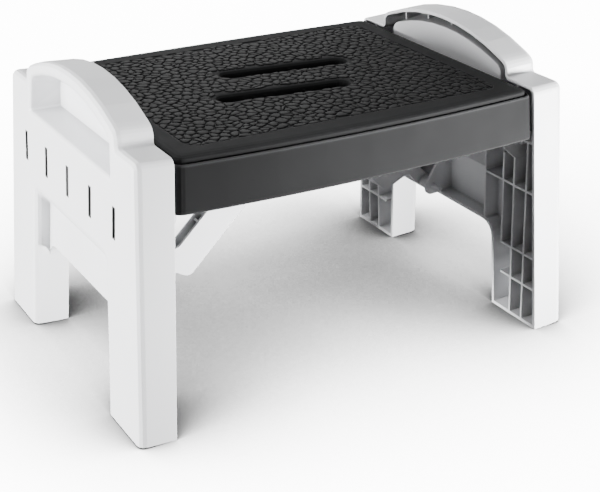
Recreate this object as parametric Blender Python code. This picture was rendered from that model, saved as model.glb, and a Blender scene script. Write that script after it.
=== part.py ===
"""Folding caravan step: two leaning leg panels with handles that fold flat under a tread.

Metres, +Z up, +X along the tread, -Y to the front. One moulding makes both legs and one makes
both braces: the left ones are the right ones turned half round the vertical axis.
"""
import math

import bmesh
import bpy
from mathutils import Vector

MM = 0.001

# Stance and fits
LENGTH = 430 * MM
SPLAY = math.radians(3.3)
END_GAP = 0.45 * MM
RUNNING_GAP = 0.3 * MM
SIDE_GAP = 0.5 * MM
OVERLAP = 1 * MM
STRAIGHT = 0.001
FULL_ROUND = 0.95
ARC_STEPS = 4
ROUND_STEPS = 16
SMOOTH_ANGLE = math.radians(35)

# Leg panel: u outwards from its inner rim, y across, w up the panel from the foot
LEG_DEPTH = 32 * MM
WALL = 3 * MM
RIB = 2 * MM
FOOT_OUTER = 148.65 * MM
OUTER_TAPER = 0.0671
FOOT_INNER = 85.3 * MM
INNER_TAPER = 0.0537
ARCH_TOP = 83 * MM
ARCH_CORNER = 14 * MM
SHOULDER = 231.5 * MM
SHOULDER_CORNER = 7 * MM
EDGE_ROUND = 6 * MM
EDGE_STEPS = 3
RECESS_DEPTH = 14 * MM
RECESS_TOP = 137 * MM
RECESS_SLOPE = 12 * MM
RECESS_CORNER = 5 * MM

# Handle at the top of the leg and the pocket behind it
HANDLE_HALF = 97 * MM
HANDLE_CROWN = 264.5 * MM
HANDLE_ARC = 230 * MM
HANDLE_CORNER = 11 * MM
HANDLE_FILLET = 2.8 * MM
POCKET_HALF = 84.5 * MM
POCKET_FLARE = 2.5 * MM
POCKET_FLOOR = 206.5 * MM
POCKET_CROWN = 253 * MM
POCKET_ARC = 219 * MM
POCKET_CORNER = 10 * MM
POCKET_SILL_CORNER = 2 * MM
POCKET_DRAFT = 3 * MM
POCKET_ROUND = 3.5 * MM
LINER = 2.5 * MM
LINER_BACK = 3 * MM
CHANNEL_RIB_PITCH = 36.75 * MM
CHANNEL_RIB_SET = 11 * MM
CHANNEL_RIB_PAIRS = 2

# Slits in the belt of the leg
SLIT_PITCH = 48 * MM
SLIT_PAIRS = 2
SLIT_WIDTH = 4.6 * MM
SLIT_LOW = 159.4 * MM
SLIT_HIGH = 184.4 * MM

# Ribs in the columns of the leg
RIB_D = 70 * MM
RIB_A = 96 * MM
RIB_B = 111 * MM
RIB_C = 128 * MM
SHELF_LOW = 39 * MM
SHELF_MID = 70 * MM
SHELF_HIGH = 133 * MM
SHELF_TOP = 180.5 * MM
RIB_A_TOP = 160 * MM

# Hinge between leg and tread
HINGE_INSET = 5.6 * MM
HINGE_HEIGHT = 176 * MM
EAR = 2.6 * MM
EAR_REACH = 18.5 * MM
EAR_CROWN = 11.5 * MM
EAR_DROP = 16 * MM
EAR_NOSE = 4 * MM
BARREL = 8.5 * MM
LUG_PLATE = 4 * MM
LUG_SET = 15 * MM
LUG_RISE = 14 * MM

# Snap pins
PIN = 3 * MM
PIN_HEAD = 5 * MM
PIN_HEAD_THICK = 3 * MM
PIN_BARB = 0.5 * MM
PIN_TIP = 4 * MM
PIN_SPLIT = 1.2 * MM
PIN_SPLIT_DEPTH = 8 * MM
PIN_CHAMFER = 0.6 * MM

# Brace: s along the strut from its lower pivot, t square to it
BRACE_ANGLE = math.radians(45)
ROD_PROUD = 7 * MM
ROD_HEIGHT = 93 * MM
TRACK_HEIGHT = 195 * MM
LANE_NEAR = 17 * MM
LANE_FAR = 57 * MM
BRACE_EYE = 6.5 * MM
BRACE_TUBE = 5.9 * MM
BRACE_WALL = 2.5 * MM
BRACE_DEPTH = 34 * MM
BRACE_RIM = 7 * MM
BRACE_LIP = 9 * MM
HEEL = 32 * MM
HEEL_ROUND = 6 * MM
HEEL_SET = 1.2 * MM
HEEL_WALL = 3 * MM
ARM = 23 * MM
ARM_FALL = 24 * MM
STRUT_RIB_PITCH = 35 * MM
STRUT_RIB_COUNT = 3
STRUT_RIB_RISE = 7.2 * MM
ROD_LUG = 3 * MM
ROD_LUG_GAP = 12 * MM
ROD_LUG_GAP_FAR = 5 * MM
ROD_LUG_NOSE = 8.5 * MM
ROD_LUG_ROUND = 6 * MM
ROD_LUG_RISE = 25.5 * MM
ROD_LUG_TOP = 142 * MM
ROD_TIP = 11 * MM
SLIDE_REACH = 5.5 * MM

# Tread
TREAD_TOP = 230 * MM
APRON_LOW = 186.7 * MM
TREAD_HALF = 136 * MM
APRON_DRAFT = 3.6 * MM
BULGE_FRONT = 7.5 * MM
BULGE_REAR = 2.5 * MM
TREAD_CORNER = 9 * MM
EDGE_SAMPLES = 8
LEDGE_DROP = 4.8 * MM
LEDGE_ROUND = 0.8 * MM
LEDGE_LIP = 1.4 * MM
LEDGE_WIDTH = 3.4 * MM
GROOVE_DEPTH = 1.8 * MM
TOP_FALL = 2 * MM
TOP_FALL_WIDTH = 7 * MM
TREAD_SKIN = 4 * MM
GRIP_HALF_X = 148 * MM
GRIP_HALF_Y = 113 * MM
GRIP_CORNER = 12 * MM
GRIP_DEPTH = 0.8 * MM
HAND_SLOT_X = 16 * MM
HAND_SLOT_Y = 28 * MM
HAND_SLOT_LENGTH = 120 * MM
HAND_SLOT_WIDTH = 15 * MM
HAND_SLOT_ROUND = 4.5 * MM
HAND_SLOT_TURN = math.radians(-5.8)
TRAY_RIB_DROP = 23 * MM
TRAY_RIB_Y = 96 * MM
TRAY_RIB_PITCH = 42 * MM
TRAY_RIB_PAIRS = 3
RAIL_GAP = 3 * MM
RAIL_END = 9 * MM
RAIL_STOP = 6 * MM
RAIL_STOP_DROP = 8 * MM

# Materials: colour, roughness
WHITE = ((0.80, 0.80, 0.79), 0.42)
ANTHRACITE = ((0.035, 0.036, 0.038), 0.55)


def leg_to_world(u, w):
    """World x and z of a point of the right leg's panel."""
    foot = LENGTH / 2 - LEG_DEPTH * math.cos(SPLAY)
    x = foot + u * math.cos(SPLAY) - w * math.sin(SPLAY)
    return x, u * math.sin(SPLAY) + w * math.cos(SPLAY)


HINGE_X, HINGE_Z = leg_to_world(HINGE_INSET, HINGE_HEIGHT)
ROD_X, ROD_Z = leg_to_world(-ROD_PROUD, ROD_HEIGHT)
STRUT = (TRACK_HEIGHT - ROD_Z) / math.sin(BRACE_ANGLE)
SLIDE_X = ROD_X - STRUT * math.cos(BRACE_ANGLE)
BORE = PIN + RUNNING_GAP


def rounded(corners):
    """Outline through corners (a, b, radius), with an arc at each corner that has a radius."""
    points = []
    for i, (a, b, radius) in enumerate(corners):
        here = Vector((a, b))
        if radius == 0:
            points.append(here)
            continue
        back = (Vector(corners[i - 1][:2]) - here).normalized()
        ahead = (Vector(corners[(i + 1) % len(corners)][:2]) - here).normalized()
        half = back.angle(ahead) / 2
        centre = here + (back + ahead).normalized() * radius / math.sin(half)
        reach = radius / math.tan(half)
        first = here + back * reach - centre
        last = here + ahead * reach - centre
        start = math.atan2(first.y, first.x)
        turn = (math.atan2(last.y, last.x) - start + math.pi) % (2 * math.pi) - math.pi
        for k in range(ARC_STEPS + 1):
            angle = start + turn * k / ARC_STEPS
            points.append(centre + Vector((math.cos(angle), math.sin(angle))) * radius)
    return points


def inset(points, depth, floor_depth):
    """Anticlockwise outline moved inwards by depth, and by floor_depth along the floor."""
    moved = []
    for i, here in enumerate(points):
        sides = []
        for start, end in ((points[i - 1], here), (here, points[(i + 1) % len(points)])):
            run = (end - start).normalized()
            on_floor = max(start.y, end.y) < OVERLAP
            sides.append((Vector((-run.y, run.x)), floor_depth if on_floor else depth))
        (n, d), (m, e) = sides
        cross = n.x * m.y - n.y * m.x
        if abs(cross) < STRAIGHT:
            moved.append(here + n * d)
        else:
            moved.append(here + Vector((d * m.y - e * n.y, n.x * e - m.x * d)) / cross)
    return moved


def circle(a, b, radius):
    """Round outline about (a, b)."""
    turns = [2 * math.pi * k / ROUND_STEPS for k in range(ROUND_STEPS)]
    return [Vector((a + radius * math.cos(t), b + radius * math.sin(t))) for t in turns]


def rectangle(a, b, c, d):
    """Outline from (a, b) to (c, d)."""
    return [Vector(p) for p in ((a, b), (c, b), (c, d), (a, d))]


def crown(half, top, arc, corner):
    """Corners of an arched top, from right to left."""
    def height(y):
        return top - arc + math.sqrt(arc * arc - y * y)
    steps = 2 * ARC_STEPS
    run = [(half - corner) * (1 - 2 * k / steps) for k in range(steps + 1)]
    middle = [(y, height(y), 0) for y in run]
    return [(half, height(half), corner)] + middle + [(-half, height(half), corner)]


def body(rings, name="tool"):
    """Closed object through rings of equally many points, capped at both ends."""
    bm = bmesh.new()
    loops = [[bm.verts.new(point) for point in ring] for ring in rings]
    for low, high in zip(loops, loops[1:]):
        for i in range(len(low)):
            bm.faces.new((low[i - 1], low[i], high[i], high[i - 1]))
    bm.faces.new(reversed(loops[0]))
    bm.faces.new(loops[-1])
    bmesh.ops.recalc_face_normals(bm, faces=bm.faces)
    mesh = bpy.data.meshes.new(name)
    bm.to_mesh(mesh)
    bm.free()
    piece = bpy.data.objects.new(name, mesh)
    bpy.context.collection.objects.link(piece)
    return piece


def outward(levels):
    """Body through (u, outline in y and w) levels of the leg."""
    return body([[(u, p.x, p.y) for p in outline] for u, outline in levels])


def across(outline, low, high):
    """Prism of an outline in x and z, between two values of y."""
    return body([[(p.x, y, p.y) for p in outline] for y in (low, high)])


def upward(levels):
    """Body through (z, outline in x and y) levels."""
    return body([[(p.x, p.y, z) for p in outline] for z, outline in levels])


def combine(base, tool, operation):
    """Exact Boolean of base with tool, which is used up."""
    modifier = base.modifiers.new(operation, "BOOLEAN")
    modifier.operation = operation
    modifier.solver = "EXACT"
    modifier.object = tool
    view = bpy.context.evaluated_depsgraph_get()
    result = bpy.data.meshes.new_from_object(base.evaluated_get(view))
    base.modifiers.clear()
    base.data = result
    bpy.data.objects.remove(tool)


def cut(base, *tools):
    for tool in tools:
        combine(base, tool, "DIFFERENCE")


def join(base, *tools):
    for tool in tools:
        combine(base, tool, "UNION")


def outer_edge(w):
    return FOOT_OUTER - OUTER_TAPER * w


def arch_edge(w):
    return FOOT_INNER - INNER_TAPER * w


def leg_outline(arch_top, arch_corner):
    """Leg seen square on, anticlockwise from the right end of the arch."""
    half = [
        (arch_edge(arch_top), arch_top, arch_corner),
        (FOOT_INNER, 0, 0),
        (FOOT_OUTER, 0, 0),
        (outer_edge(SHOULDER), SHOULDER, SHOULDER_CORNER),
        (HANDLE_HALF, SHOULDER, HANDLE_FILLET),
    ]
    mirrored = [(-y, w, radius) for y, w, radius in reversed(half)]
    return rounded(half + crown(HANDLE_HALF, HANDLE_CROWN, HANDLE_ARC, HANDLE_CORNER) + mirrored)


def leg_shell():
    """Solid leg, sunk over the arch, with its outer edges rounded down to but not along the foot."""
    web = LEG_DEPTH - RECESS_DEPTH
    arch = leg_outline(ARCH_TOP, ARCH_CORNER)
    levels = [(0, arch), (web, arch), (web, leg_outline(RECESS_TOP - RECESS_SLOPE, RECESS_CORNER))]
    for k in range(EDGE_STEPS + 1):
        angle = math.pi / 2 * k / EDGE_STEPS
        depth = EDGE_ROUND * (1 - math.cos(angle))
        u = LEG_DEPTH - EDGE_ROUND * (1 - math.sin(angle))
        top = RECESS_TOP - RECESS_SLOPE * (LEG_DEPTH - u) / RECESS_DEPTH
        levels.append((u, inset(leg_outline(top, RECESS_CORNER), depth, 0)))
    return outward(levels)


def pocket_outline(size, flare):
    """Arched outline of the handle pocket, grown by size, with flare added at its sill."""
    half = POCKET_HALF + size
    sill = half + flare
    floor = POCKET_FLOOR - size
    base = [(-sill, floor, POCKET_SILL_CORNER), (sill, floor, POCKET_SILL_CORNER)]
    return rounded(base + crown(half, POCKET_CROWN + size, POCKET_ARC + size, POCKET_CORNER))


def pocket():
    """Handle pocket, drafted, with its edge rounded where it opens at the outer face."""
    levels = [(LINER_BACK + LINER, pocket_outline(-POCKET_DRAFT, 0))]
    for k in range(EDGE_STEPS + 1):
        angle = math.pi / 2 * k / EDGE_STEPS
        u = LEG_DEPTH - POCKET_ROUND * (1 - math.sin(angle))
        levels.append((u, pocket_outline(POCKET_ROUND * (1 - math.cos(angle)), POCKET_FLARE)))
    levels.append((LEG_DEPTH + OVERLAP, levels[-1][1]))
    return outward(levels)


def pocket_liner():
    """Pocket with its wall, which stands inside the leg."""
    back = pocket_outline(LINER - POCKET_DRAFT, 0)
    return outward([(LINER_BACK, back), (LEG_DEPTH, pocket_outline(LINER, POCKET_FLARE))])


def recess_backing():
    """Walls of the panel sunk over the arch, with its sloping top."""
    levels = []
    web = LEG_DEPTH - RECESS_DEPTH - WALL
    for u, top in ((web, RECESS_TOP - RECESS_SLOPE), (LEG_DEPTH, RECESS_TOP)):
        low, high = ARCH_TOP - ARCH_CORNER + OVERLAP, top + WALL / 2
        outline = [
            Vector((arch_edge(low) + WALL, low)),
            Vector((arch_edge(high) + WALL, high)),
            Vector((-arch_edge(high) - WALL, high)),
            Vector((-arch_edge(low) - WALL, low)),
        ]
        levels.append((u, outline))
    return outward(levels)


def leg_rib(low_y, low_w, high_y, high_w, start=-2 * OVERLAP):
    """Rib of the leg: a box from the inner rim, or from start, to the skin."""
    outline = rectangle(low_y, low_w, high_y, high_w)
    return outward([(start, outline), (LEG_DEPTH, outline)])


def upright(y, low, high):
    return leg_rib(y - RIB / 2, low, y + RIB / 2, high)


def shelf(w, side, near, far):
    return leg_rib(side * near, w - RIB / 2, side * far, w + RIB / 2)


def leg_hollow():
    """Space inside the leg, open at the inner rim, with its ribs left out."""
    outline = inset(leg_outline(ARCH_TOP, ARCH_CORNER), WALL, WALL)
    hollow = outward([(-OVERLAP, outline), (LEG_DEPTH - WALL, outline)])
    cut(hollow, pocket_liner(), recess_backing())
    for k in range(-CHANNEL_RIB_PAIRS, CHANNEL_RIB_PAIRS + 1):
        y = k * CHANNEL_RIB_PITCH
        low = (POCKET_FLOOR + POCKET_CROWN) / 2
        cut(hollow, leg_rib(y - RIB / 2, low, y + RIB / 2, HANDLE_CROWN, CHANNEL_RIB_SET))
    for side in (-1, 1):
        cut(hollow, upright(side * RIB_D, 0, POCKET_FLOOR))
        cut(hollow, upright(side * RIB_A, SHELF_MID, RIB_A_TOP))
        cut(hollow, upright(side * RIB_B, 0, SHOULDER))
        cut(hollow, upright(side * RIB_C, 0, SHELF_TOP))
        cut(hollow, shelf(SHELF_LOW, side, RIB_A, FOOT_OUTER))
        cut(hollow, shelf(SHELF_MID, side, RIB_A, FOOT_OUTER))
        cut(hollow, shelf(SHELF_HIGH, side, RIB_D, FOOT_OUTER))
        cut(hollow, shelf(SHELF_TOP, side, RIB_B, FOOT_OUTER))
    return hollow


def hinge_ear(y):
    """Plate on a rib of the leg that carries the hinge pin and stands in from the rim."""
    u, w = HINGE_INSET, HINGE_HEIGHT
    corners = [
        (u + EAR_CROWN, w - EAR_DROP, 0),
        (u + EAR_CROWN, w + EAR_CROWN, 0),
        (u - EAR_CROWN / 2, w + EAR_CROWN, EAR_NOSE),
        (u - EAR_REACH, w + EAR_NOSE / 2, EAR_NOSE / 2),
        (u - EAR_REACH, w - EAR_NOSE, EAR_NOSE / 2),
        (0, w - EAR_DROP, 0),
    ]
    return across(rounded(corners), y - EAR / 2, y + EAR / 2)


def rod_lug(low, high):
    """Plate on the web of the leg that carries the brace's pin."""
    u, w, nose = -ROD_PROUD, ROD_HEIGHT, ROD_LUG_NOSE
    web = LEG_DEPTH - RECESS_DEPTH - WALL / 2
    corners = [
        (web, ARCH_TOP + WALL / 2, 0),
        (web, ROD_LUG_TOP, 0),
        (0, w + ROD_LUG_RISE, nose),
        (u - nose, w + ROD_LUG_ROUND / 2, ROD_LUG_ROUND),
        (u - nose, w - nose, ROD_LUG_ROUND),
    ]
    return across(rounded(corners), low, high)


def rod_lug_spans():
    """Low and high y of the two lugs, on either side of the brace's lower eyes."""
    near = LANE_NEAR - ROD_LUG_GAP
    far = LANE_FAR + ROD_LUG_GAP_FAR
    return (near - ROD_LUG, near), (far, far + ROD_LUG)


def leg_mesh():
    """Leg moulding about its hinge axis."""
    leg = leg_shell()
    cut(leg, leg_hollow(), pocket())
    for k in range(-SLIT_PAIRS, SLIT_PAIRS + 1):
        y = k * SLIT_PITCH
        slit = rectangle(y - SLIT_WIDTH / 2, SLIT_LOW, y + SLIT_WIDTH / 2, SLIT_HIGH)
        cut(leg, outward([(LEG_DEPTH - 2 * WALL, slit), (LEG_DEPTH + OVERLAP, slit)]))
    for side in (-1, 1):
        join(leg, hinge_ear(side * RIB_D), hinge_ear(side * RIB_B))
    for low, high in rod_lug_spans():
        join(leg, rod_lug(low, high))
    bore = circle(HINGE_INSET, HINGE_HEIGHT, BORE)
    for side in (-1, 1):
        cut(leg, across(bore, side * (RIB_D - EAR), side * (RIB_B + EAR)))
    (near, _), (_, far) = rod_lug_spans()
    cut(leg, across(circle(-ROD_PROUD, ROD_HEIGHT, BORE), near - OVERLAP, far + OVERLAP))
    for vertex in leg.data.vertices:
        vertex.co -= Vector((HINGE_INSET, 0, HINGE_HEIGHT))
    return leg


def strut_points(corners):
    """Rounded outline in x and z from corners given along (s) and square to (t) the strut."""
    return [Vector((-p.x, p.y)) for p in rounded(corners)]


def strut_wall(rim, low, high):
    """Side wall of the brace with an eye at each end; its middle part stops at t = rim."""
    eye = BRACE_EYE
    far = STRUT + eye
    corners = [
        (-eye, -eye, eye * FULL_ROUND),
        (ARM, -eye, HEEL_ROUND),
        (HEEL, -BRACE_DEPTH, HEEL_ROUND),
        (STRUT, -BRACE_DEPTH, HEEL_ROUND),
        (far, -eye * 2, HEEL_ROUND),
        (far, eye, eye * FULL_ROUND),
        (STRUT - eye, eye, eye),
        (STRUT - eye - ARM_FALL, rim, eye),
        (ARM + ARM_FALL, rim, eye),
        (ARM, eye, eye),
        (-eye, eye, eye * FULL_ROUND),
    ]
    return across(strut_points(corners), low, high)


def strut_floor():
    """Floor of the brace's channel, which turns up at the heel and at the top."""
    deep = BRACE_DEPTH - BRACE_WALL
    rise = BRACE_EYE * 2
    corners = [
        (ARM + HEEL_SET, -rise, 0),
        (HEEL, -BRACE_DEPTH, HEEL_ROUND),
        (STRUT, -BRACE_DEPTH, HEEL_ROUND),
        (STRUT + BRACE_EYE, -rise, 0),
        (STRUT + BRACE_EYE - BRACE_WALL, -rise, 0),
        (STRUT - BRACE_WALL, -deep, HEEL_ROUND - BRACE_WALL),
        (HEEL + BRACE_WALL, -deep, HEEL_ROUND - BRACE_WALL),
        (ARM + HEEL_SET + HEEL_WALL, -rise, 0),
    ]
    return across(strut_points(corners), LANE_NEAR + BRACE_WALL / 2, LANE_FAR - BRACE_WALL / 2)


def brace_mesh():
    """Brace moulding about its lower pivot, with the strut along -x."""
    brace = strut_wall(-BRACE_RIM, LANE_FAR - BRACE_WALL, LANE_FAR)
    join(brace, strut_floor())
    join(brace, strut_wall(-BRACE_DEPTH + BRACE_LIP, LANE_NEAR, LANE_NEAR + BRACE_WALL))
    first = STRUT / 2 - STRUT_RIB_PITCH * (STRUT_RIB_COUNT - 1) / 2
    for k in range(STRUT_RIB_COUNT):
        s = first + STRUT_RIB_PITCH * k
        low = -BRACE_DEPTH + BRACE_WALL / 2
        rib = rectangle(-s - RIB / 2, low, -s + RIB / 2, -BRACE_DEPTH + STRUT_RIB_RISE)
        join(brace, across(rib, LANE_NEAR + BRACE_WALL / 2, LANE_FAR - BRACE_WALL / 2))
    (_, near), (far, _) = rod_lug_spans()
    join(brace, across(circle(0, 0, BRACE_EYE), near + SIDE_GAP, far - SIDE_GAP))
    join(brace, across(circle(-STRUT, 0, BRACE_TUBE), LANE_NEAR + OVERLAP, LANE_FAR - OVERLAP))
    for x in (0, -STRUT):
        cut(brace, across(circle(x, 0, BORE), 0, LANE_FAR + ROD_LUG_GAP))
    return brace


def round_body(profile):
    """Round body about the y axis through (y, radius) steps."""
    rings = []
    for y, radius in profile:
        rings.append([(p.x, y, p.y) for p in circle(0, 0, radius)])
    return body(rings)


def snap_pin(head, grip, tip):
    """Pin along y: its head's face at head, a barb past grip and a split end at tip."""
    way = 1 if tip > head else -1
    barb = PIN + PIN_BARB
    profile = [
        (head - way * PIN_HEAD_THICK, PIN_HEAD - PIN_CHAMFER),
        (head - way * (PIN_HEAD_THICK - PIN_CHAMFER), PIN_HEAD),
        (head, PIN_HEAD),
        (head, PIN),
        (grip, PIN),
        (grip + way * PIN_CHAMFER, barb),
        (tip, PIN - PIN_CHAMFER),
    ]
    pin = round_body(profile)
    half = PIN_SPLIT / 2
    slot = rectangle(-half, -PIN_HEAD, half, PIN_HEAD)
    cut(pin, across(slot, tip - way * PIN_SPLIT_DEPTH, tip + way * OVERLAP))
    return pin


def hinge_pin_mesh():
    head = RIB_D - EAR / 2 - RUNNING_GAP
    grip = RIB_B + EAR / 2 + RUNNING_GAP
    return snap_pin(head, grip, grip + PIN_TIP)


def brace_pin_mesh():
    (near, _), (_, far) = rod_lug_spans()
    return snap_pin(far + RUNNING_GAP, near - RUNNING_GAP, near - ROD_TIP)


def slide_pin_mesh():
    low = LANE_NEAR - SLIDE_REACH
    high = LANE_FAR + SLIDE_REACH
    ends = PIN - PIN_CHAMFER
    return round_body([(low, ends), (low + PIN_CHAMFER, PIN), (high - PIN_CHAMFER, PIN), (high, ends)])


def tread_end(z):
    """Half length of the tread at a height: it follows the lean of the leg's inner rim."""
    return leg_to_world(0, z / math.cos(SPLAY))[0] - END_GAP


def tread_plan(z, depth):
    """Plan outline of the tread at a height, moved inwards by depth."""
    length = tread_end(z) - depth
    rise = (z - APRON_LOW) / (TREAD_TOP - APRON_LOW)
    width = TREAD_HALF - APRON_DRAFT * rise - depth
    corners = []
    for side, bulge in ((-1, BULGE_FRONT), (1, BULGE_REAR)):
        for k in range(EDGE_SAMPLES + 1):
            t = 2 * k / EDGE_SAMPLES - 1
            radius = TREAD_CORNER - depth / 2 if abs(t) == 1 else 0
            corners.append((-side * t * length, side * (width + bulge * (1 - t * t)), radius))
    return rounded(corners)


def tread_shell():
    """Solid tread: drafted apron, ledge with a groove behind its lip, and a top that falls to its edge."""
    ledge = TREAD_TOP - LEDGE_DROP
    steps = [
        (APRON_LOW, 0),
        (ledge - LEDGE_ROUND, 0),
        (ledge, LEDGE_ROUND),
        (ledge, LEDGE_LIP),
        (ledge - GROOVE_DEPTH, LEDGE_LIP),
        (ledge - GROOVE_DEPTH, LEDGE_WIDTH),
    ]
    for k in range(EDGE_STEPS + 1):
        angle = math.pi / 2 * k / EDGE_STEPS
        z = TREAD_TOP - TOP_FALL * (1 - math.sin(angle))
        steps.append((z, LEDGE_WIDTH + TOP_FALL_WIDTH * (1 - math.cos(angle))))
    return upward([(z, tread_plan(z, depth)) for z, depth in steps])


def slot_outline(side, grow):
    """Round-ended hand slot, turned a little and set off to one side of the middle."""
    radius = HAND_SLOT_WIDTH / 2 + grow
    half = HAND_SLOT_LENGTH / 2 + grow
    turn = HAND_SLOT_TURN
    outline = []
    corners = [(*p, radius * FULL_ROUND) for p in rectangle(-half, -radius, half, radius)]
    for p in rounded(corners):
        x = HAND_SLOT_X + p.x * math.cos(turn) - p.y * math.sin(turn)
        y = HAND_SLOT_Y + p.x * math.sin(turn) + p.y * math.cos(turn)
        outline.append(Vector((side * x, side * y)))
    return outline


def hand_slot(side):
    """Slot through the tread, with its upper edge rounded down from the grip area."""
    top = TREAD_TOP - GRIP_DEPTH
    levels = [(APRON_LOW, slot_outline(side, 0))]
    for k in range(EDGE_STEPS + 1):
        angle = math.pi / 2 * k / EDGE_STEPS
        z = top - HAND_SLOT_ROUND * (1 - math.sin(angle))
        levels.append((z, slot_outline(side, HAND_SLOT_ROUND * (1 - math.cos(angle)))))
    levels.append((TREAD_TOP + OVERLAP, levels[-1][1]))
    return upward(levels)


def block(low, high):
    """Box from one corner to the other."""
    outline = rectangle(low[0], low[1], high[0], high[1])
    return upward([(low[2], outline), (high[2], outline)])


def turned(side, low, high):
    """Box given for the right brace's lane, or turned half round for the left one's."""
    if side > 0:
        return block(low, high)
    return block((-high[0], -high[1], low[2]), (-low[0], -low[1], high[2]))


def tread_hollow():
    """Space under the tread, with its ribs, rails and slot walls left out."""
    ledge = TREAD_TOP - LEDGE_DROP
    roof = TREAD_TOP - TREAD_SKIN
    above = TREAD_TOP + OVERLAP
    steps = [(APRON_LOW - OVERLAP, WALL), (ledge - GROOVE_DEPTH - WALL, WALL), (roof, WALL + LEDGE_WIDTH)]
    hollow = upward([(z, tread_plan(z, depth)) for z, depth in steps])
    rib_low = TREAD_TOP - TRAY_RIB_DROP
    half = RIB / 2
    for k in range(-TRAY_RIB_PAIRS, TRAY_RIB_PAIRS + 1):
        x = k * TRAY_RIB_PITCH
        cut(hollow, block((x - half, -2 * TREAD_HALF, rib_low), (x + half, 2 * TREAD_HALF, above)))
    rail_low = TRACK_HEIGHT + PIN + RUNNING_GAP
    stop = SLIDE_X + PIN + RUNNING_GAP
    for side in (-1, 1):
        y = side * TRAY_RIB_Y
        cut(hollow, block((-LENGTH, y - half, rib_low), (LENGTH, y + half, above)))
        wall = slot_outline(side, BRACE_WALL)
        cut(hollow, upward([(rib_low, wall), (above, wall)]))
        for low, high in rail_spans():
            start = folded_slide_x() - RAIL_END
            cut(hollow, turned(side, (start, low, rail_low), (stop + RAIL_STOP, high, above)))
            tooth = rail_low - RAIL_STOP_DROP
            cut(hollow, turned(side, (stop, low, tooth), (stop + RAIL_STOP, high, above)))
    return hollow


def rail_spans():
    """Low and high y of the two rails over the ends of the right slide pin."""
    near = LANE_NEAR - RAIL_GAP
    far = LANE_FAR + RAIL_GAP
    return (near - RAIL_GAP, near), (far, far + RAIL_GAP)


def folded_slide_x():
    """Where the right slide pin stands when its leg lies flat under the tread."""
    rod_x = HINGE_X - (HINGE_HEIGHT - ROD_HEIGHT)
    rod_z = HINGE_Z + HINGE_INSET + ROD_PROUD
    return rod_x - math.sqrt(STRUT ** 2 - (TRACK_HEIGHT - rod_z) ** 2)


def lug_outline(side):
    """Hinge lug: a round end about the axis, and an arm back under the end of the tread."""
    end = tread_end(APRON_LOW)
    points = [
        (end - LUG_SET, APRON_LOW + WALL / 2, 0),
        (HINGE_X - BARREL, HINGE_Z - BARREL, BARREL * FULL_ROUND),
        (HINGE_X + BARREL, HINGE_Z - BARREL, BARREL * FULL_ROUND),
        (HINGE_X + BARREL, HINGE_Z + BARREL, BARREL * FULL_ROUND),
        (end - WALL / 2, APRON_LOW + BARREL, 0),
        (end - WALL / 2, APRON_LOW + LUG_RISE, 0),
        (end - LUG_SET, APRON_LOW + LUG_RISE, 0),
    ]
    return [Vector((side * p.x, p.y)) for p in rounded(points)]


def tread_mesh():
    """Tread moulding with its hinge barrels."""
    tread = tread_shell()
    cut(tread, tread_hollow())
    corners = rectangle(-GRIP_HALF_X, -GRIP_HALF_Y, GRIP_HALF_X, GRIP_HALF_Y)
    grip = rounded([(*p, GRIP_CORNER) for p in corners])
    cut(tread, upward([(TREAD_TOP - GRIP_DEPTH, grip), (TREAD_TOP + OVERLAP, grip)]))
    for side in (-1, 1):
        cut(tread, hand_slot(side))
    ear_room = EAR / 2 + SIDE_GAP
    low_y = RIB_D + ear_room
    high_y = RIB_B - ear_room
    for end in (-1, 1):
        for side in (-1, 1):
            for rib in (RIB_D, RIB_B):
                near, far = sorted((side * (rib - ear_room), side * (rib + ear_room)))
                inner, outer = sorted((end * (HINGE_X - EAR_REACH - LUG_PLATE), end * HINGE_X))
                top = HINGE_Z + EAR_REACH + WALL
                cut(tread, block((inner, near, APRON_LOW - OVERLAP), (outer, far, top)))
            lug = lug_outline(end)
            join(tread, across(lug, side * low_y, side * (low_y + LUG_PLATE)))
            join(tread, across(lug, side * (high_y - LUG_PLATE), side * high_y))
            tube = circle(end * HINGE_X, HINGE_Z, BARREL - OVERLAP)
            join(tread, across(tube, side * (low_y + OVERLAP), side * (high_y - OVERLAP)))
            bore = circle(end * HINGE_X, HINGE_Z, BORE)
            cut(tread, across(bore, side * (low_y - OVERLAP), side * (high_y + OVERLAP)))
    return tread


def finish(piece, name, look, place=(0, 0, 0), turn=(0, 0, 0)):
    """Name, place, colour and smooth one piece."""
    colour, roughness = look
    piece.name = name
    piece.data.name = name
    piece.location = place
    piece.rotation_euler = turn
    piece.data.polygons.foreach_set("use_smooth", [True] * len(piece.data.polygons))
    piece.data.set_sharp_from_angle(angle=SMOOTH_ANGLE)
    material = bpy.data.materials.new(name + "_plastic")
    material.use_nodes = True
    shader = material.node_tree.nodes["Principled BSDF"]
    shader.inputs["Base Color"].default_value = (*colour, 1)
    shader.inputs["Roughness"].default_value = roughness
    shader.inputs["Metallic"].default_value = 0
    piece.data.materials.clear()
    piece.data.materials.append(material)


def copy_of(piece):
    """Separate object with its own copy of the mesh."""
    twin = piece.copy()
    twin.data = piece.data.copy()
    bpy.context.collection.objects.link(twin)
    return twin


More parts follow.
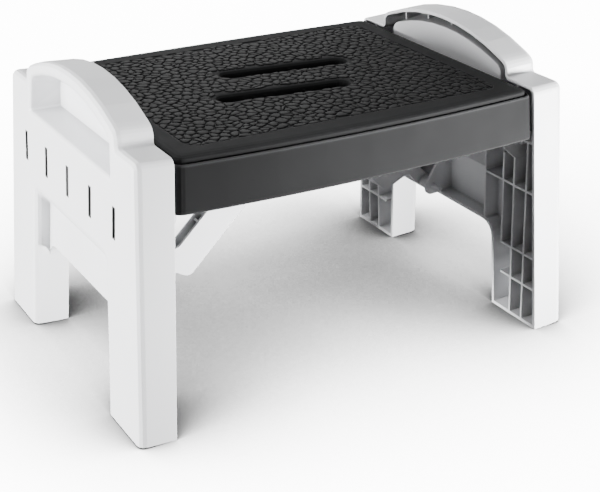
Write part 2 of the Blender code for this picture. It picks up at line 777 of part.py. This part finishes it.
def build():
    finish(tread_mesh(), "tread", ANTHRACITE)
    half_turn = math.pi
    hinge = (HINGE_X, 0, HINGE_Z)
    rod = (ROD_X, 0, ROD_Z)
    slide = (SLIDE_X, 0, TRACK_HEIGHT)
    moulds = [
        ("leg", leg_mesh(), hinge, -SPLAY),
        ("brace", brace_mesh(), rod, BRACE_ANGLE),
        ("brace_pin", brace_pin_mesh(), rod, 0),
        ("slide_pin", slide_pin_mesh(), slide, 0),
    ]
    for label, right, (x, y, z), lean in moulds:
        left = copy_of(right)
        finish(right, "right_" + label, WHITE, (x, y, z), (0, lean, 0))
        finish(left, "left_" + label, WHITE, (-x, y, z), (0, lean, half_turn))
    pin = hinge_pin_mesh()
    for label, side in (("right", 1), ("left", -1)):
        for end, turn in (("rear", 0), ("front", half_turn)):
            place = (side * HINGE_X, 0, HINGE_Z)
            finish(copy_of(pin), label + "_" + end + "_hinge_pin", WHITE, place, (0, 0, turn))
    bpy.data.objects.remove(pin)


for existing in list(bpy.data.objects):
    bpy.data.objects.remove(existing)
build()
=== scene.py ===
"""Looks of the folding caravan step: moulded plastics, the pebbled grip, light and camera.

Metres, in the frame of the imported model: +Z up, +X along the tread, -Y to the front.
"""
import math
import random

import bmesh
import bpy
from mathutils import Matrix, Vector


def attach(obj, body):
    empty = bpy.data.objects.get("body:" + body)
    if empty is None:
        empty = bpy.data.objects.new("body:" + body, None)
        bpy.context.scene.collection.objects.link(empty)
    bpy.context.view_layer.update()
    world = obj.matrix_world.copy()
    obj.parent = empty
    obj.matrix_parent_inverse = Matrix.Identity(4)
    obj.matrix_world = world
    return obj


MM = 0.001

# Grip area of the tread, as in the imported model
GRIP_HALF_X = 148 * MM
GRIP_HALF_Y = 113 * MM
GRIP_CORNER = 12 * MM
GRIP_FLOOR = 229.2 * MM

# Hand slots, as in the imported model: middle, half length, half width, rounded edge and turn
SLOT_X = 16 * MM
SLOT_Y = 28 * MM
SLOT_HALF = 60 * MM
SLOT_RADIUS = 7.5 * MM
SLOT_ROUND = 4.5 * MM
SLOT_TURN = math.radians(-5.8)

# Layout of the pebbles: start of the random draws, spacing of the points that pebbles grow from, shift
# of a point as a share of it, rows and columns of other points that a pebble's cell is cut by, half a
# groove, gap to the border and number of lines that make up the border
PEBBLE_SEED = 7
PEBBLE_PITCH = 8.6 * MM
PEBBLE_JITTER = 0.48
NEIGHBOURS = 2
HALF_GROOVE = 0.1 * MM
BORDER_GAP = 0.4 * MM
BORDER_LINES = 48

# Form of a pebble: side of a square as large as the smallest cell, share of a side that each corner is
# cut back by, height, the shares of it that chance picks from, and rings as shares of width and height
PEBBLE_LEAST = PEBBLE_PITCH / 4
PEBBLE_CUT = 0.28
PEBBLE_HEIGHT = 0.95 * MM
PEBBLE_HEIGHTS = (0.82, 1.08)
PEBBLE_RINGS = ((1.0, -0.1), (0.9, 0.55), (0.83, 0.88), (0.7, 1.0))

# Colours of the plastics, and the tone of the pebbles against the rest of the tread
WHITE = (0.80, 0.805, 0.82)
# The brace's white is the legs' white darkened as painted shade
BRACE_SHADED_WHITE = (0.74, 0.744, 0.76)
ANTHRACITE = (0.016, 0.0162, 0.0166)
PEBBLE_TONE = 0.92

# Moulded plastic: cloudy drift of its colour, drift of its gloss, its grain and its index of refraction
DRIFT_SCALE = 9
DRIFT_DETAIL = 3
DRIFT_ROUGHNESS = 0.55
DRIFT_ENDS = (0.3, 0.7)
GLOSS_SCALE = 45
GLOSS_DETAIL = 4
GLOSS_DRIFT = 0.06
GRAIN_DETAIL = 2
GRAIN_HEIGHT = 0.2 * MM
PLASTIC_IOR = 1.49

# Painted shade in corners: its reach, and how open a place is where it is in full and where it ends
CORNER_REACH = 20 * MM
CORNER_OPEN = (0.15, 0.8)

# Painted shade in the grooves between the pebbles: height over the grip's floor where it ends, and its tone
GROOVE_TOP = 0.7 * MM
GROOVE_SHADE_TONE = 0.12

# Slits of the legs, as in the imported model: where the painted shade of a slit fades beside its
# # middle, the last slit's end, the heights and the depth that it reaches, and the tone inside it
SLIT_PITCH = 48 * MM
SLIT_FADE = (2.8 * MM, 3.2 * MM)
SLIT_END = 120 * MM
SLIT_MIDDLE = 173.4 * MM
SLIT_HALF_HEIGHT = 13.5 * MM
SLIT_DEEPEST = 198 * MM
SLIT_SHADE_TONE = 0.06

# Painted highlight on the outer edges of the tread: its reach, how much plastic lies around a place
# # where it is in full and where it ends, and its tone
RIM_REACH = 2 * MM
RIM_FILLED = (0.55, 0.9)
RIM_HIGHLIGHT_TONE = 2.4

# Upward part of a normal where painted light on the tread's top begins and is in full, and its tone
TOP_FACING = (0.8, 0.97)
TOP_LIGHT_TONE = 1.45

# Samples for the surroundings of a place, for soft edges and for the shading of the floor
NEAR_SAMPLES = 8
EDGE_SAMPLES = 6
FLOOR_SAMPLES = 16

# Floor: colour, gloss and glow, the side the light of its painted shadow comes from, the reach and strength
# # of the painted shadow under the step and close to its feet, and the distances between which it ends
FLOOR_COLOUR = (0.04, 0.04, 0.04, 1)
FLOOR_ROUGHNESS = 0.8
FLOOR_GLOW = 14
LIT_SIDE = (-0.3, -0.4, 0.8)
SHADE_REACH = 600 * MM
SHADE_POWER = 3.5
CONTACT_REACH = 160 * MM
CONTACT_POWER = 2.2
SHADE_END = (0.8, 1.4)

# Studio: half width and height of the room, the dim light all round, and the soft boxes, each with its
# place, target, size, power in watts and the angle in degrees that it spreads its light over
ROOM_HALF = 6
ROOM_HEIGHT = 6
WHITE_LIGHT = (1, 1, 1, 1)
SURROUND = 0.2
SOFT_BOXES = (
    ("top_box", (-0.3, 0.3, 1.8), (0, 0, 0.2), 1.2, 27, 180),
    ("rear_box", (0.5, 1.3, 0.8), (0, 0, 0.23), 0.8, 6, 180),
    ("rear_low_box", (0.5, 1.2, 0.11), (0, 0.1, 0.11), 0.2, 14, 180),
    ("left_box", (-1.5, 0.08, 0.26), (-0.2, 0, 0.12), 0.25, 85, 180),
    ("front_right_box", (0.8, -0.8, 0.11), (0.08, -0.14, 0.11), 0.2, 5.5, 44),
)

# Camera, fitted to the photograph; lens and sensor in millimetres
CAMERA_PLACE = Vector((-0.5408, -0.9361, 0.5774))
CAMERA_RIGHT = Vector((0.86091, -0.50867, 0.00900))
CAMERA_UP = Vector((0.21008, 0.37154, 0.90434))
CAMERA_LENS = 77.25
CAMERA_SENSOR = 36


class Finish:
    """New material with its shader, the place on the object, and short ways to add nodes."""

    def __init__(self, name):
        self.material = bpy.data.materials.new(name)
        self.material.use_nodes = True
        self.tree = self.material.node_tree
        self.shader = self.tree.nodes["Principled BSDF"]
        self.place = self.add("ShaderNodeTexCoord").outputs["Object"]

    def add(self, kind, **settings):
        """Node of a kind, with values for its inputs and settings."""
        node = self.tree.nodes.new(kind)
        for key, value in settings.items():
            if key in node.inputs:
                node.inputs[key].default_value = value
            else:
                setattr(node, key, value)
        return node

    def link(self, output, socket):
        """Link from the output of a node to an input."""
        self.tree.links.new(output, socket)

    def parts(self, vector):
        """X, Y and Z of a vector."""
        node = self.add("ShaderNodeSeparateXYZ")
        self.link(vector, node.inputs["Vector"])
        return [node.outputs[axis] for axis in "XYZ"]

    def noise(self, **settings):
        """Cloudy noise over the object."""
        node = self.add("ShaderNodeTexNoise", **settings)
        self.link(self.place, node.inputs["Vector"])
        return node.outputs["Fac"]

    def ranged(self, value, source=(0, 1), target=(0, 1)):
        """Value carried over from one range to another and held at the ends."""
        node = self.add("ShaderNodeMapRange")
        for word, limits in (("From", source), ("To", target)):
            node.inputs[f"{word} Min"].default_value = limits[0]
            node.inputs[f"{word} Max"].default_value = limits[1]
        self.link(value, node.inputs["Value"])
        return node.outputs["Result"]

    def math(self, operation, *operands):
        """Result of a math node, whose operands are numbers or outputs of other nodes."""
        node = self.add("ShaderNodeMath", operation=operation)
        for socket, operand in zip(node.inputs, operands):
            if isinstance(operand, bpy.types.NodeSocket):
                self.link(operand, socket)
            else:
                socket.default_value = operand
        return node.outputs["Value"]

    def toned(self, colour, tone):
        """Colour times a tone."""
        node = self.add("ShaderNodeMix", data_type="RGBA", blend_type="MULTIPLY", Factor=1)
        self.link(colour, node.inputs["A"])
        self.link(tone, node.inputs["B"])
        return node.outputs["Result"]


def painted_groove_shade(finish):
    """Painted shade that darkens the grooves between the pebbles."""
    z = finish.parts(finish.place)[2]
    return finish.ranged(z, (GRIP_FLOOR, GRIP_FLOOR + GROOVE_TOP), (GROOVE_SHADE_TONE, 1))


def painted_slit_shade(finish):
    """Painted shade on the walls of the slits in the legs and on a narrow line of the face beside them."""
    x, y, z = finish.parts(finish.place)
    from_slit = finish.math("ABSOLUTE", finish.math("WRAP", y, SLIT_PITCH / 2, -SLIT_PITCH / 2))
    inside = finish.ranged(from_slit, SLIT_FADE, (1, 0))
    for limit in (
        finish.math("LESS_THAN", finish.math("ABSOLUTE", y), SLIT_END),
        finish.math("GREATER_THAN", finish.math("ABSOLUTE", x), SLIT_DEEPEST),
        finish.math("COMPARE", z, SLIT_MIDDLE, SLIT_HALF_HEIGHT),
    ):
        inside = finish.math("MULTIPLY", inside, limit)
    return finish.ranged(inside, target=(1, SLIT_SHADE_TONE))


def painted_tread_light(finish):
    """Painted highlight on the outer edges, where the gloss of a rounded edge shows, and painted light on
    the top.
    """
    filled = finish.add("ShaderNodeAmbientOcclusion", samples=NEAR_SAMPLES, inside=True, Distance=RIM_REACH)
    rim = finish.ranged(filled.outputs["AO"], RIM_FILLED, (RIM_HIGHLIGHT_TONE, 1))
    upward = finish.parts(finish.add("ShaderNodeNewGeometry").outputs["Normal"])[2]
    top = finish.ranged(upward, TOP_FACING, (1, TOP_LIGHT_TONE))
    return finish.math("MULTIPLY", rim, top)


def plastic(name, colour, drift, roughness, grain, depth, edge, shade, gleam=0.5, own_tone=None):
    """Moulded plastic: slight drift of colour and gloss, a fine spark-eroded grain and soft edges.

    Drift is the share that the colour varies by, grain and depth are the scale and strength of the
    grain, edge is the radius of soft edges, and gleam is the strength of reflections. Shade is how much
    darker deep corners and cells are painted, as painted shade where light doesn't reach. The own tone
    is a function that makes one more factor of the colour.
    """
    finish = Finish(name)
    shader = finish.shader

    ramp = finish.add("ShaderNodeValToRGB")
    for stop, position, factor in zip(ramp.color_ramp.elements, DRIFT_ENDS, (1 - drift, 1 + drift)):
        stop.position = position
        stop.color = (*[min(1, c * factor) for c in colour], 1)
    clouds = finish.noise(Scale=DRIFT_SCALE, Detail=DRIFT_DETAIL, Roughness=DRIFT_ROUGHNESS)
    finish.link(clouds, ramp.inputs["Fac"])
    # Painted shade: the colour is darker where the object itself closes round a place
    corner = finish.add(
        "ShaderNodeAmbientOcclusion", samples=NEAR_SAMPLES, only_local=True, Distance=CORNER_REACH
    )
    painted_corner_shade = finish.ranged(corner.outputs["AO"], CORNER_OPEN, (1 - shade, 1))
    base = finish.toned(ramp.outputs["Color"], painted_corner_shade)
    if own_tone:
        base = finish.toned(base, own_tone(finish))
    finish.link(base, shader.inputs["Base Color"])

    sheen = finish.noise(Scale=GLOSS_SCALE, Detail=GLOSS_DETAIL)
    gloss = finish.ranged(sheen, target=(roughness - GLOSS_DRIFT, roughness + GLOSS_DRIFT))
    finish.link(gloss, shader.inputs["Roughness"])

    soft = finish.add("ShaderNodeBevel", samples=EDGE_SAMPLES, Radius=edge)
    bump = finish.add("ShaderNodeBump", Strength=depth, Distance=GRAIN_HEIGHT)
    finish.link(finish.noise(Scale=grain, Detail=GRAIN_DETAIL), bump.inputs["Height"])
    finish.link(soft.outputs["Normal"], bump.inputs["Normal"])
    finish.link(bump.outputs["Normal"], shader.inputs["Normal"])

    shader.inputs["Metallic"].default_value = 0
    shader.inputs["IOR"].default_value = PLASTIC_IOR
    shader.inputs["Specular IOR Level"].default_value = gleam
    return finish.material


def mesh_piece(name, bm, material, body):
    """New piece from a bmesh, riding on a body."""
    bmesh.ops.recalc_face_normals(bm, faces=bm.faces)
    mesh = bpy.data.meshes.new(name)
    bm.to_mesh(mesh)
    bm.free()
    mesh.polygons.foreach_set("use_smooth", [True] * len(mesh.polygons))
    mesh.materials.append(material)
    piece = bpy.data.objects.new(name, mesh)
    bpy.context.collection.objects.link(piece)
    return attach(piece, body)


def clip(polygon, point, normal):
    """Part of a convex polygon on the side of a line that its normal points to."""
    kept = []
    for i, here in enumerate(polygon):
        before = polygon[i - 1]
        a = (before - point).dot(normal)
        b = (here - point).dot(normal)
        if (a < 0) != (b < 0):
            kept.append(before.lerp(here, a / (a - b)))
        if b >= 0:
            kept.append(here)
    return kept


def grip_border():
    """Lines (point, inward normal) that bound the grip area, corners included."""
    lines = []
    core_x = GRIP_HALF_X - GRIP_CORNER
    core_y = GRIP_HALF_Y - GRIP_CORNER
    reach = GRIP_CORNER - BORDER_GAP
    for k in range(BORDER_LINES):
        angle = 2 * math.pi * k / BORDER_LINES
        out = Vector((math.cos(angle), math.sin(angle)))
        x = math.copysign(core_x, out.x) + out.x * reach
        y = math.copysign(core_y, out.y) + out.y * reach
        lines.append((Vector((x, y)), -out))
    return lines


def nearest_on_slot(point, side):
    """Point of a slot's middle line that lies nearest, for the slot on one side (-1 or 1)."""
    middle = Vector((SLOT_X, SLOT_Y)) * side
    along = Vector((math.cos(SLOT_TURN), math.sin(SLOT_TURN)))
    reach = SLOT_HALF - SLOT_RADIUS
    t = max(-reach, min(reach, (point - middle).dot(along)))
    return middle + along * t


def pebble_seeds():
    """Jittered staggered grid of points over the grip area and a margin round it."""
    chance = random.Random(PEBBLE_SEED)
    row_step = PEBBLE_PITCH * math.sqrt(3) / 2
    shift = PEBBLE_PITCH * PEBBLE_JITTER
    rows = int(GRIP_HALF_Y / row_step) + NEIGHBOURS
    columns = int(GRIP_HALF_X / PEBBLE_PITCH) + NEIGHBOURS
    seeds = {}
    for row in range(-rows, rows + 1):
        for column in range(-columns, columns + 1):
            x = (column + 0.5 * (row % 2)) * PEBBLE_PITCH
            y = row * row_step
            jitter = Vector((chance.uniform(-shift, shift), chance.uniform(-shift, shift)))
            seeds[row, column] = Vector((x, y)) + jitter
    return seeds


def pebble_cells():
    """Outline of each pebble: the space nearer to its seed than to any other, less half a groove."""
    seeds = pebble_seeds()
    border = grip_border()
    clear = SLOT_RADIUS + SLOT_ROUND
    reach = NEIGHBOURS * PEBBLE_PITCH
    around = range(-NEIGHBOURS, NEIGHBOURS + 1)
    for (row, column), seed in seeds.items():
        if abs(seed.x) > GRIP_HALF_X or abs(seed.y) > GRIP_HALF_Y:
            continue
        cell = [seed + Vector(p) * reach for p in ((-1, -1), (1, -1), (1, 1), (-1, 1))]
        for row_away in around:
            for column_away in around:
                other = seeds.get((row + row_away, column + column_away))
                if other is None or other is seed:
                    continue
                away = (seed - other).normalized()
                cell = clip(cell, (seed + other) / 2 + away * HALF_GROOVE, away)
        for point, inward in border:
            cell = clip(cell, point, inward)
        for side in (-1, 1):
            near = nearest_on_slot(seed, side)
            away = seed - near
            if away.length < clear:
                cell = []
                break
            if away.length < clear + reach:
                away.normalize()
                cell = clip(cell, near + away * clear, away)
        if len(cell) > 2:
            yield cell


def softened(polygon):
    """Polygon with each corner cut back, so that it looks rounded."""
    points = []
    for i, here in enumerate(polygon):
        ahead = polygon[(i + 1) % len(polygon)]
        points.append(here.lerp(ahead, PEBBLE_CUT))
        points.append(here.lerp(ahead, 1 - PEBBLE_CUT))
    return points


def polygon_area(polygon):
    """Area inside a polygon."""
    total = 0
    for i, here in enumerate(polygon):
        total += polygon[i - 1].x * here.y - polygon[i - 1].y * here.x
    return abs(total) / 2


def add_pebble(bm, cell, lift):
    """Low rounded pebble on the floor of the grip area."""
    outline = softened(cell)
    middle = sum(outline, Vector((0, 0))) / len(outline)
    rings = []
    for scale, height in PEBBLE_RINGS:
        z = GRIP_FLOOR + lift * height
        ring = [middle + (p - middle) * scale for p in outline]
        rings.append([bm.verts.new((p.x, p.y, z)) for p in ring])
    for low, high in zip(rings, rings[1:]):
        for i in range(len(low)):
            bm.faces.new((low[i - 1], low[i], high[i], high[i - 1]))
    bm.faces.new(rings[-1])
    bm.faces.new(reversed(rings[0]))


def grip(material):
    """Pebbled grip of the tread."""
    chance = random.Random(PEBBLE_SEED + 1)
    bm = bmesh.new()
    for cell in pebble_cells():
        if polygon_area(cell) > PEBBLE_LEAST ** 2:
            add_pebble(bm, cell, PEBBLE_HEIGHT * chance.uniform(*PEBBLE_HEIGHTS))
    return mesh_piece("tread_grip", bm, material, "tread")


def area_light(name, place, target, size, power, spread):
    """Square soft box pointed at a target, with the angle that it spreads its light over."""
    data = bpy.data.lights.new(name, "AREA")
    data.size = size
    data.energy = power
    data.spread = math.radians(spread)
    light = bpy.data.objects.new(name, data)
    light.location = place
    light.rotation_euler = (Vector(target) - Vector(place)).to_track_quat("-Z", "Y").to_euler()
    bpy.context.collection.objects.link(light)


def floor_material():
    """White light-table floor, with a shadow painted into its glow where the step stands over it."""
    finish = Finish("floor_white")
    side = finish.add("ShaderNodeCombineXYZ", X=LIT_SIDE[0], Y=LIT_SIDE[1], Z=LIT_SIDE[2])
    lit = finish.add("ShaderNodeVectorMath", operation="NORMALIZE")
    finish.link(side.outputs["Vector"], lit.inputs[0])
    under = finish.add("ShaderNodeAmbientOcclusion", samples=FLOOR_SAMPLES, Distance=SHADE_REACH)
    finish.link(lit.outputs["Vector"], under.inputs["Normal"])
    contact = finish.add("ShaderNodeAmbientOcclusion", samples=FLOOR_SAMPLES, Distance=CONTACT_REACH)
    # Painted shadow: the glow is dimmed where the step hides the lit side and close to its feet
    shade = finish.math(
        "MULTIPLY",
        finish.math("POWER", under.outputs["AO"], SHADE_POWER),
        finish.math("POWER", contact.outputs["AO"], CONTACT_POWER),
    )

    distance = finish.add("ShaderNodeVectorMath", operation="LENGTH")
    finish.link(finish.place, distance.inputs[0])
    light = finish.add("ShaderNodeMix", data_type="FLOAT", B=1)
    finish.link(finish.ranged(distance.outputs["Value"], SHADE_END), light.inputs["Factor"])
    finish.link(shade, light.inputs["A"])
    glow = finish.math("MULTIPLY", light.outputs["Result"], FLOOR_GLOW)

    shader = finish.shader
    finish.link(glow, shader.inputs["Emission Strength"])
    shader.inputs["Emission Color"].default_value = WHITE_LIGHT
    shader.inputs["Base Color"].default_value = FLOOR_COLOUR
    shader.inputs["Roughness"].default_value = FLOOR_ROUGHNESS
    shader.inputs["Specular IOR Level"].default_value = 0
    return finish.material


def stage_piece(name, faces, material):
    """Part of the studio, which throws no light on the step and isn't mirrored in it."""
    bm = bmesh.new()
    for face in faces:
        bm.faces.new([bm.verts.new(point) for point in face])
    mesh = bpy.data.meshes.new(name)
    bm.to_mesh(mesh)
    bm.free()
    mesh.materials.append(material)
    piece = bpy.data.objects.new(name, mesh)
    bpy.context.collection.objects.link(piece)
    piece.visible_diffuse = False
    piece.visible_glossy = False
    return piece


def studio():
    """White floor and walls, dim even surroundings, and soft boxes round the step."""
    corners = [Vector(p) * ROOM_HALF for p in ((-1, -1, 0), (1, -1, 0), (1, 1, 0), (-1, 1, 0))]
    up = Vector((0, 0, ROOM_HEIGHT))
    walls = []
    for i, here in enumerate(corners):
        before = corners[i - 1]
        walls.append((here, before, before + up, here + up))
    material = floor_material()
    stage_piece("floor", [corners], material)
    stage_piece("walls", walls, material)

    world = bpy.data.worlds.new("studio")
    world.use_nodes = True
    background = world.node_tree.nodes["Background"]
    background.inputs["Color"].default_value = WHITE_LIGHT
    background.inputs["Strength"].default_value = SURROUND
    bpy.context.scene.world = world

    for box in SOFT_BOXES:
        area_light(*box)


def camera():
    """Camera of the photograph, with everything in focus."""
    data = bpy.data.cameras.new("photo_camera")
    data.lens = CAMERA_LENS
    data.sensor_width = CAMERA_SENSOR
    data.dof.use_dof = False
    view = bpy.data.objects.new("photo_camera", data)
    back = CAMERA_RIGHT.cross(CAMERA_UP)
    turn = Matrix((CAMERA_RIGHT, CAMERA_UP, back)).transposed().to_4x4()
    view.matrix_world = Matrix.Translation(CAMERA_PLACE) @ turn
    bpy.context.collection.objects.link(view)
    bpy.context.scene.camera = view


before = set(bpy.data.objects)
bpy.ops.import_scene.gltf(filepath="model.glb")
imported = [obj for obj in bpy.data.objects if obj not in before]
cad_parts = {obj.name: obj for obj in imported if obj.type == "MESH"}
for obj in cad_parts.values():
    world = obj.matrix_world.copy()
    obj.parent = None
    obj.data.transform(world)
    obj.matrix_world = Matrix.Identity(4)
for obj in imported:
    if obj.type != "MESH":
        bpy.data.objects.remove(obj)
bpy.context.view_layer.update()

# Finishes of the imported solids, by the last word of their names
finishes = {
    "leg": plastic(
        "leg_white", WHITE, drift=0.02, roughness=0.42, grain=1600, depth=0.12,
        edge=0.8 * MM, shade=0.6, own_tone=painted_slit_shade,
    ),
    "brace": plastic(
        "brace_shaded_white", BRACE_SHADED_WHITE, drift=0.02, roughness=0.45, grain=1600, depth=0.12,
        edge=0.5 * MM, shade=0.97,
    ),
    "pin": plastic(
        "pin_white", WHITE, drift=0.02, roughness=0.36, grain=2200, depth=0.05,
        edge=0.3 * MM, shade=0.4,
    ),
    "tread": plastic(
        "tread_anthracite", ANTHRACITE, drift=0.10, roughness=0.64, grain=1400, depth=0.25,
        edge=0.7 * MM, shade=0.65, gleam=0.03, own_tone=painted_tread_light,
    ),
}
for name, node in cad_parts.items():
    kind = name.rsplit("_", 1)[-1]
    for slot in node.material_slots:
        slot.material = finishes[kind]

pebble = plastic(
    "grip_anthracite", [PEBBLE_TONE * c for c in ANTHRACITE], drift=0.12, roughness=0.55,
    grain=1400, depth=0.3, edge=0.3 * MM, shade=0.5, gleam=0.08, own_tone=painted_groove_shade,
)
grip(pebble)
studio()
camera()
